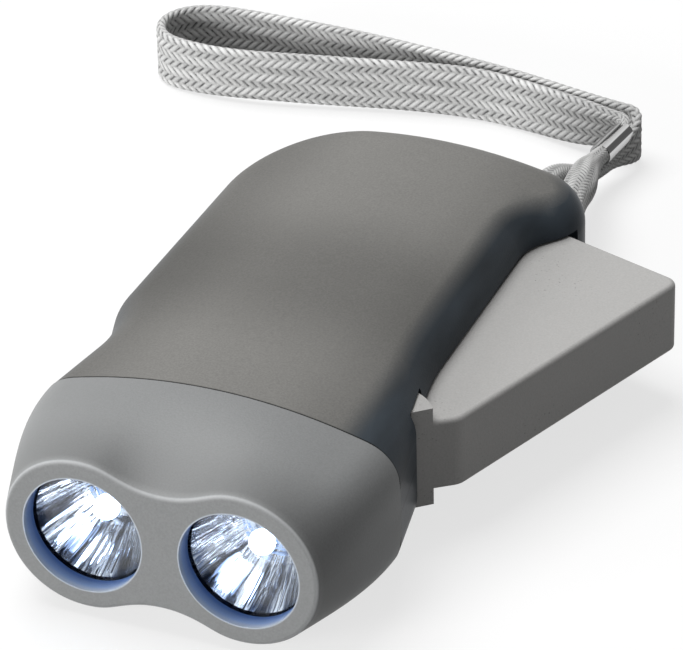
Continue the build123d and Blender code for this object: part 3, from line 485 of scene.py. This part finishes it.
# ------------------------------------------------------------------ strap
# Route of the strap in mm: from the ferrule round the pin in the case, out again, round
# the loop and back to the ferrule. Each place, then the strap's width and thickness there.
strap_route = [
    ((11.8, 98.2, 7.05), (2.5, 2.5)),
    ((10.84, 87.9, 7.05), (2.5, 2.5)),
    ((11.9, 80.5, 8.9), (4.7, 4.4)),
    ((13.8, 73.6, 10.2), (5.7, 5.3)),
    ((15.0, 66.5, 11.3), (5.0, 4.7)),
    ((18.0, 59.0, 12.1), (3.5, 3.2)),
    ((19.5, 55.5, 12.15), (2.9, 2.9)),
    ((19.5, 47.65, 12.15), (2.9, 2.9)),
    ((13.7, 47.65, 12.15), (2.9, 2.9)),
    ((13.7, 55.0, 12.15), (2.9, 2.9)),
    ((10.4, 62.0, 12.2), (3.7, 3.3)),
    ((8.9, 71.0, 11.5), (4.2, 3.7)),
    ((8.7, 79.0, 8.4), (4.0, 3.4)),
    ((9.5, 85.0, 5.0), (3.4, 3.0)),
    ((10.4, 90.0, 4.0), (2.9, 2.7)),
    ((11.3, 94.4, 4.0), (3.0, 2.4)),
    ((13.5, 98.6, 4.7), (6.6, 1.7)),
    ((12.6, 103.0, 4.85), (9.3, 1.5)),
    ((8.8, 103.2, 4.85), (9.5, 1.45)),
    ((2.5, 104.5, 4.85), (9.5, 1.45)),
    ((-10.0, 107.3, 4.85), (9.5, 1.45)),
    ((-26.0, 109.6, 4.85), (9.5, 1.45)),
    ((-42.7, 110.9, 4.85), (9.5, 1.45)),
    ((-60.0, 111.2, 4.85), (9.5, 1.45)),
    ((-70.5, 110.1, 4.85), (9.5, 1.45)),
    ((-74.8, 104.1, 4.85), (9.5, 1.45)),
    ((-72.0, 97.7, 4.85), (9.5, 1.45)),
    ((-63.8, 96.2, 5.1), (9.3, 1.45)),
    ((-55.5, 96.8, 5.3), (9.0, 1.45)),
    ((-46.5, 98.8, 5.3), (9.0, 1.45)),
    ((-30.3, 103.3, 5.1), (9.2, 1.45)),
    ((-17.0, 105.8, 4.9), (9.3, 1.45)),
    ((-8.0, 104.8, 4.9), (9.3, 1.5)),
    ((2.0, 102.3, 5.2), (8.8, 1.6)),
    ((8.0, 101.0, 6.0), (6.6, 2.2)),
    ((11.6, 101.0, 7.05), (3.4, 2.8)),
    ((11.8, 98.2, 7.05), (2.5, 2.5)),
]
ring_step = 0.22  # mm along the strap from one ring of the mesh to the next
ring_points = 112
braid_rows = 14  # rows of stitches round the strap


def spline_places(name, points):
    """Points along the smooth open NURBS spline through the room of some points."""
    data = bpy.data.curves.new(name, "CURVE")
    data.dimensions = "3D"
    data.resolution_u = 24
    spline = data.splines.new("NURBS")
    spline.points.add(len(points) - 1)
    for point, place in zip(spline.points, points):
        point.co = (*place, 1.0)
    spline.order_u = 3
    spline.use_endpoint_u = True
    curve = bpy.data.objects.new(name, data)
    mesh = bpy.data.meshes.new_from_object(curve)
    places = [vertex.co.copy() for vertex in mesh.vertices]
    bpy.data.objects.remove(curve)
    return places


def even_rings(places, sizes, step):
    """Place and size at even steps along the route."""
    result = []
    travelled = 0.0
    target = 0.0
    for number in range(len(places) - 1):
        a, b = places[number], places[number + 1]
        length = (b - a).length
        while length > 0 and travelled + length >= target:
            share = (target - travelled) / length
            result.append((a.lerp(b, share), sizes[number].lerp(sizes[number + 1], share)))
            target += step
        travelled += length
    return result


def braid_height(phase, row):
    """Height of a flat plait: rows of slanting stitches along the strap, the slant
    changing side from row to row, each stitch diving under the next row's at both ends."""
    highest = 0.0
    middle = math.floor(row)
    for number in (middle - 1, middle, middle + 1):
        through = row - number - 0.5
        if abs(through) < 0.8:
            slant = 1 if number % 2 else -1
            place = phase - slant * through * 1.05 + (number % 2) * 0.5
            stitch = round(place)
            off = 2 * abs(place - stitch)
            # No two stitches are pulled quite alike.
            pull = 0.86 + 0.14 * math.sin(12.9 * stitch + 78.2 * number)
            ends = 1 - (abs(through) / 0.8) ** 3
            crown = math.sqrt(max(0.0, 1 - off * off))
            highest = max(highest, pull * crown * (0.25 + 0.75 * ends))
    return highest


def outline_point(share, wide, thick):
    """Place and outward direction on a flat oval, its lower end first."""
    bend = math.pi * thick / 2
    run = wide - thick

    def on_bend(angle, middle):
        out = Vector((math.cos(angle), math.sin(angle)))
        spot = (thick / 2 * math.cos(angle), middle + thick / 2 * math.sin(angle))
        return Vector(spot), out

    travel = (share * (2 * bend + 2 * run) + bend / 2) % (2 * bend + 2 * run)
    if travel < bend:
        return on_bend(math.pi + math.pi * travel / bend, -run / 2)
    travel -= bend
    if travel < run:
        return Vector((thick / 2, -run / 2 + travel)), Vector((1, 0))
    travel -= run
    if travel < bend:
        return on_bend(math.pi * travel / bend, run / 2)
    travel -= bend
    return Vector((-thick / 2, run / 2 - travel)), Vector((-1, 0))


def plaited_mesh(rings):
    """Closed mesh of the plait through rings of places and sizes."""
    vertices = []
    relief = []
    phase = 0.0
    for number, (place, size) in enumerate(rings):
        before = rings[max(0, number - 4)][0]
        after = rings[min(len(rings) - 1, number + 4)][0]
        tangent = (after - before).normalized()
        wide = (Vector((0, 0, 1)) - tangent * tangent.z).normalized()
        side = tangent.cross(wide)
        # 0 where the strap is bunched round, 1 where it lies flat.
        flat = min(1.0, max(0.0, (size.x - 3.0) / 5.0))
        phase += ring_step / (1.0 + 0.45 * flat)
        for step in range(ring_points):
            spot, out = outline_point(step / ring_points, size.x, size.y)
            height = braid_height(phase, braid_rows * step / ring_points)
            spot += out * (height - 0.6) * (0.24 + 0.1 * flat)
            vertices.append(place + (side * spot.x + wide * spot.y) * MM)
            relief.append(height)
    faces = []
    for ring in range(len(rings) - 1):
        for step in range(ring_points):
            a = ring * ring_points + step
            b = ring * ring_points + (step + 1) % ring_points
            faces.append((a, b, b + ring_points, a + ring_points))
    faces.append(tuple(reversed(range(ring_points))))
    last = (len(rings) - 1) * ring_points
    faces.append(tuple(range(last, last + ring_points)))
    mesh = bpy.data.meshes.new("strap")
    mesh.from_pydata(vertices, [], faces)
    mesh.attributes.new("relief", "FLOAT", "POINT").data.foreach_set("value", relief)
    mesh.polygons.foreach_set("use_smooth", [True] * len(mesh.polygons))
    return mesh


def make_strap():
    places = spline_places("strap_route", [Vector(place) * MM for place, size in strap_route])
    sizes = spline_places("strap_sizes", [(*size, 0.0) for place, size in strap_route])
    mesh = plaited_mesh(even_rings(places, sizes, ring_step * MM))
    strap = bpy.data.objects.new("strap", mesh)
    scene.collection.objects.link(strap)
    mesh.materials.append(braided())
    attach(strap, "housing")
    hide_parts("strap_band", "strap_tie")


make_strap()


# ------------------------------------------------------------------ stage and light
def seen_directly(tree):
    """1 for rays from the camera, a mirror or through glass, 0 for the light that falls."""
    path = tree.nodes.new("ShaderNodeLightPath")
    seen = path.outputs["Is Camera Ray"]
    for name in ("Is Glossy Ray", "Is Transmission Ray"):
        either = tree.nodes.new("ShaderNodeMath")
        either.operation = "MAXIMUM"
        tree.links.new(seen, either.inputs[0])
        tree.links.new(path.outputs[name], either.inputs[1])
        seen = either.outputs[0]
    return seen


def add_floor():
    """White floor that shows the torch's shadow."""
    reach = 3.0
    mesh = bpy.data.meshes.new("floor")
    mesh.from_pydata(
        [(-reach, -reach, 0), (reach, -reach, 0), (reach, reach, 0), (-reach, reach, 0)],
        [],
        [(0, 1, 2, 3)],
    )
    floor = bpy.data.objects.new("floor", mesh)
    scene.collection.objects.link(floor)
    n = Nodes("floor_pale")
    n.feed(n.product(seen_directly(n.tree), 0.72), "Emission Strength")
    n.set(
        Base_Color=(0.25, 0.25, 0.25, 1.0),
        Roughness=0.9,
        Emission_Color=(1.0, 1.0, 1.0, 1.0),
        Specular_IOR_Level=0.0,
    )
    mesh.materials.append(n.material)


def add_backdrop():
    """White all round, giving only a faint light of its own."""
    world = bpy.data.worlds.new("studio")
    scene.world = world
    world.use_nodes = True
    tree = world.node_tree
    background = tree.nodes["Background"]
    background.inputs["Color"].default_value = (1, 1, 1, 1)
    strength = tree.nodes.new("ShaderNodeMapRange")
    strength.inputs["To Min"].default_value = 0.19
    strength.inputs["To Max"].default_value = 1.0
    tree.links.new(seen_directly(tree), strength.inputs["Value"])
    tree.links.new(strength.outputs["Result"], background.inputs["Strength"])


def area_light(name, place, target, size, power):
    data = bpy.data.lights.new(name, "AREA")
    data.shape = "RECTANGLE"
    data.size, data.size_y = size
    data.energy = power
    light = bpy.data.objects.new(name, data)
    light.location = place
    aim = Vector(target) - Vector(place)
    light.rotation_euler = aim.to_track_quat("-Z", "Y").to_euler()
    scene.collection.objects.link(light)


def lamp_light(side):
    """The faint cool light of one lamp, a little in front of its tip."""
    data = bpy.data.lights.new("lamp_glow", "POINT")
    data.energy = 0.0016
    data.color = (0.5, 0.68, 1.0)
    data.shadow_soft_size = 0.002
    lamp = bpy.data.objects.new("lamp_glow", data)
    lamp.location = ((lamp_middle + side * lamp_x) * MM, -0.0435, mid_z * MM)
    scene.collection.objects.link(lamp)


add_floor()
add_backdrop()
area_light("overhead", (-0.32, 0.15, 0.9), (0, 0.02, 0), (0.7, 0.7), 9.5)
area_light("front_left", (-0.55, -1.0, 0.22), (0, -0.03, 0.01), (0.45, 0.45), 15.0)
lamp_light(-1)
lamp_light(1)
scene.view_settings.view_transform = "Standard"
